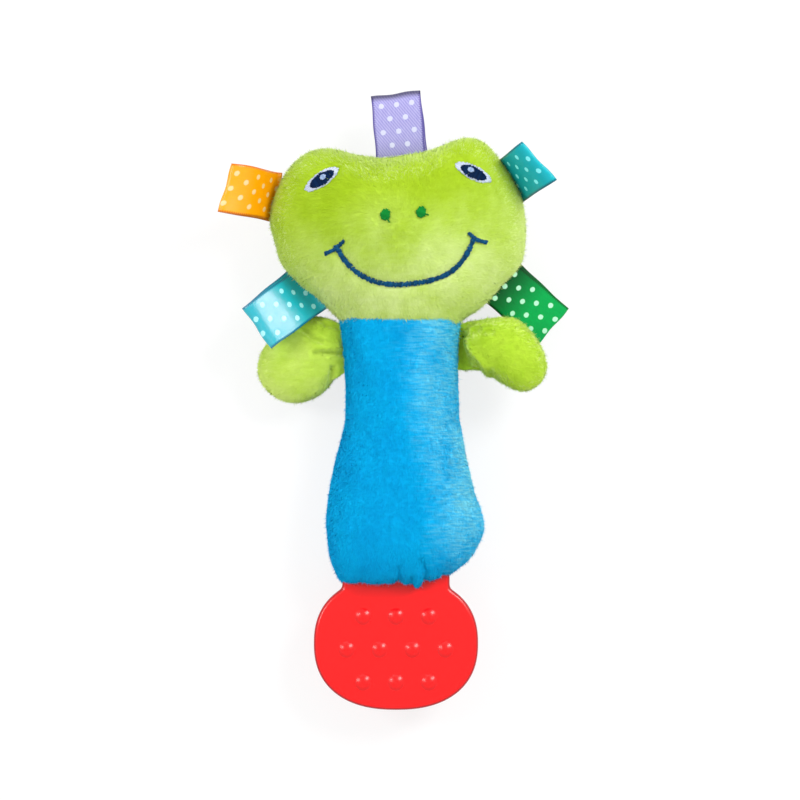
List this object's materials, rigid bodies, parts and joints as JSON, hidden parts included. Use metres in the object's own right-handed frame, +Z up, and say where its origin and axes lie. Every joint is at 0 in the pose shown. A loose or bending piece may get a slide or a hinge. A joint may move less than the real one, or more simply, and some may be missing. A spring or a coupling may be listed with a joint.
{
  "type": "frog rattle teether",
  "caption": "Plush frog rattle with a stitched smiling face, looped satin ribbons, stubby arms, a hidden bead barrel in the body and a rubber chewing plate sewn into the hem.",
  "frame": {"origin": "on the table, under the middle of the toy's outline as it lies on its back", "axes": "+Y along the toy towards the head's top ribbon, +Z up out of the face, +X to the right as the face is looked at; left and right in the names are also the onlooker's"},
  "size_m": [0.1138, 0.1992, 0.0396],
  "materials": {
    "green_plush": "short soft pile",
    "blue_plush": "short soft pile",
    "stuffing": "loose white fibre",
    "white_thread": "satin stitch",
    "navy_thread": "satin stitch",
    "green_thread": "satin stitch",
    "lilac_satin": "satin with white dots",
    "orange_satin": "satin with white dots",
    "teal_satin": "satin with white dots",
    "aqua_satin": "satin with white dots",
    "leaf_satin": "satin with white dots",
    "red_rubber": "smooth and shiny",
    "white_plastic": "smooth",
    "yellow_plastic": "smooth"
  },
  "bodies": {
    "plush": {"face_panel": "green_plush", "head_back_panel": "green_plush", "head_stuffing": "stuffing", "left_eye_white": "white_thread", "left_eye_pupil": "navy_thread", "left_eye_glint": "white_thread", "left_nostril": "green_thread", "right_eye_white": "white_thread", "right_eye_pupil": "navy_thread", "right_eye_glint": "white_thread", "right_nostril": "green_thread", "smile_stitching": "navy_thread", "body_front_panel": "blue_plush", "body_back_panel": "blue_plush", "body_stuffing": "stuffing", "rattle_cup": "white_plastic", "rattle_cap": "white_plastic"},
    "left_arm": {"left_arm_front_panel": "green_plush", "left_arm_back_panel": "green_plush", "left_arm_stuffing": "stuffing"},
    "right_arm": {"right_arm_front_panel": "green_plush", "right_arm_back_panel": "green_plush", "right_arm_stuffing": "stuffing"},
    "top_ribbon_loop": {"top_ribbon": "lilac_satin"},
    "upper_left_ribbon_loop": {"upper_left_ribbon": "orange_satin"},
    "upper_right_ribbon_loop": {"upper_right_ribbon": "teal_satin"},
    "lower_left_ribbon_loop": {"lower_left_ribbon": "aqua_satin"},
    "lower_right_ribbon_loop": {"lower_right_ribbon": "leaf_satin"},
    "rattle_bead_1": {"bead_1": "yellow_plastic"},
    "rattle_bead_2": {"bead_2": "yellow_plastic"},
    "rattle_bead_3": {"bead_3": "yellow_plastic"},
    "rattle_bead_4": {"bead_4": "yellow_plastic"},
    "rattle_bead_5": {"bead_5": "yellow_plastic"},
    "chew_plate": {"teether": "red_rubber"}
  },
  "joints": [
    {"name": "left_arm_swing", "type": "hinge", "parent": "plush", "child": "left_arm", "pos_m": [-0.01928, 0.01568, 0.018], "axis": [-0.1184, 0.993, 0], "range_deg": [-6, 10], "stiffness_Nm_per_rad": 0.02},
    {"name": "right_arm_swing", "type": "hinge", "parent": "plush", "child": "right_arm", "pos_m": [0.02414, 0.01592, 0.018], "axis": [-0.0307, -0.9995, 0], "range_deg": [-8, 45], "stiffness_Nm_per_rad": 0.02},
    {"name": "top_ribbon_flap", "type": "hinge", "parent": "plush", "child": "top_ribbon_loop", "pos_m": [0.00254, 0.07968, 0.018], "axis": [0.9911, 0.1329, 0], "range_deg": [-40, 40], "stiffness_Nm_per_rad": 0.002},
    {"name": "upper_left_ribbon_flap", "type": "hinge", "parent": "plush", "child": "upper_left_ribbon_loop", "pos_m": [-0.0388, 0.06411, 0.018], "axis": [0.3024, 0.9532, 0], "range_deg": [-30, 35], "stiffness_Nm_per_rad": 0.002},
    {"name": "upper_right_ribbon_flap", "type": "hinge", "parent": "plush", "child": "upper_right_ribbon_loop", "pos_m": [0.03987, 0.071, 0.018], "axis": [0.4519, -0.8921, 0], "range_deg": [-20, 12], "stiffness_Nm_per_rad": 0.002},
    {"name": "lower_left_ribbon_flap", "type": "hinge", "parent": "plush", "child": "lower_left_ribbon_loop", "pos_m": [-0.03033, 0.0339, 0.018], "axis": [-0.7975, 0.6033, 0], "range_deg": [-4, 22], "stiffness_Nm_per_rad": 0.002},
    {"name": "lower_right_ribbon_flap", "type": "hinge", "parent": "plush", "child": "lower_right_ribbon_loop", "pos_m": [0.03597, 0.03781, 0.018], "axis": [-0.7218, -0.6921, 0], "range_deg": [-38, 4], "stiffness_Nm_per_rad": 0.002},
    {"name": "chew_plate_flex", "type": "hinge", "parent": "plush", "child": "chew_plate", "pos_m": [0.0011, -0.0585, 0.018], "axis": [1, 0, 0], "range_deg": [-15, 15], "stiffness_Nm_per_rad": 0.1},
    {"name": "bead_1_roll", "type": "slide", "parent": "plush", "child": "rattle_bead_1", "axis": [0, 1, 0], "range_m": [-0.0047, 0.0167]},
    {"name": "bead_2_roll", "type": "slide", "parent": "plush", "child": "rattle_bead_2", "axis": [0, 1, 0], "range_m": [-0.0077, 0.0137]},
    {"name": "bead_3_roll", "type": "slide", "parent": "plush", "child": "rattle_bead_3", "axis": [0, 1, 0], "range_m": [-0.0107, 0.0107]},
    {"name": "bead_4_roll", "type": "slide", "parent": "plush", "child": "rattle_bead_4", "axis": [0, 1, 0], "range_m": [-0.0137, 0.0077]},
    {"name": "bead_5_roll", "type": "slide", "parent": "plush", "child": "rattle_bead_5", "axis": [0, 1, 0], "range_m": [-0.0167, 0.0047]}
  ]
}
